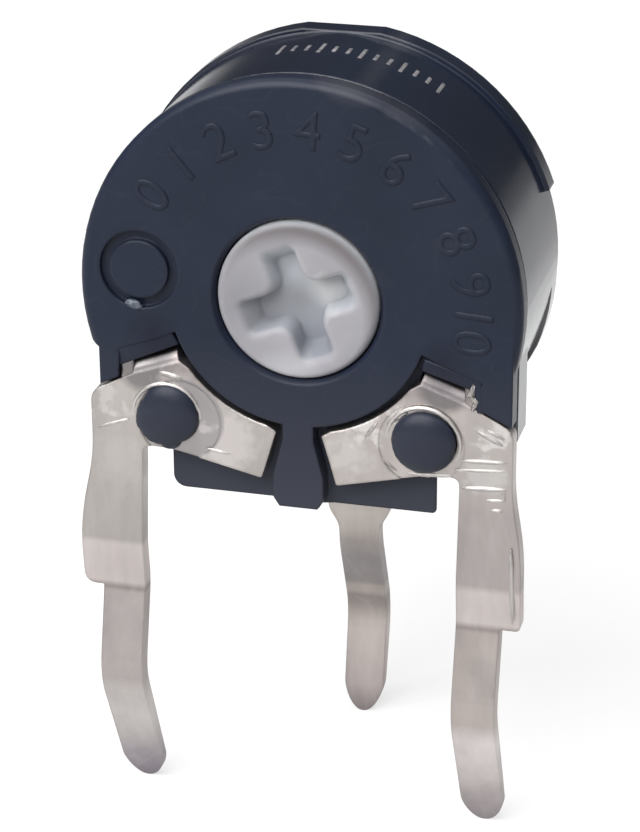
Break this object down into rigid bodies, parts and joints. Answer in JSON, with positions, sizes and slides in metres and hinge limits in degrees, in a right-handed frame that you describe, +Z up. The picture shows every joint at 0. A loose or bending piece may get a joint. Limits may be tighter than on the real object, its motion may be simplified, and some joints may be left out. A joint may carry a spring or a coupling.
{
  "type": "trimmer potentiometer",
  "caption": "Upright trimmer potentiometer: round black body, pale cross-slotted rotor and crimped tinned legs that hold it off the circuit board.",
  "frame": {"origin": "midway between the two end legs, at the circuit board's surface, where the legs' shoulders seat", "axes": "+X along the row of end legs, to the right as seen from the dial face; +Y from the dial face to the back, along the rotor's axis; +Z up from the board"},
  "size_m": [0.0154, 0.0103, 0.0272],
  "materials": {
    "plate_plastic": "satin moulded",
    "cup_plastic": "smooth moulded",
    "rotor_plastic": "pale satin moulded",
    "contact_spring": "bare stamped",
    "board_laminate": "paper laminate",
    "carbon_print": "printed carbon",
    "pad_print_left": "printed silver",
    "pad_print_right": "printed silver",
    "wiper_terminal_metal": "tinned",
    "left_terminal_metal": "tinned",
    "right_terminal_metal": "tinned"
  },
  "bodies": {
    "housing": {"front_plate": "plate_plastic", "rear_cup": "cup_plastic", "track_board": "board_laminate", "carbon_track": "carbon_print", "pad_left": "pad_print_left", "pad_right": "pad_print_right", "wiper_terminal": "wiper_terminal_metal", "terminal_left": "left_terminal_metal", "terminal_right": "right_terminal_metal"},
    "rotor": {"rotor": "rotor_plastic", "wiper_contact": "contact_spring"}
  },
  "joints": [
    {"name": "rotor_turn", "type": "hinge", "parent": "housing", "child": "rotor", "pos_m": [0, 0, 0.0111], "axis": [0, 1, 0], "range_deg": [-111.5, 153.5]}
  ]
}
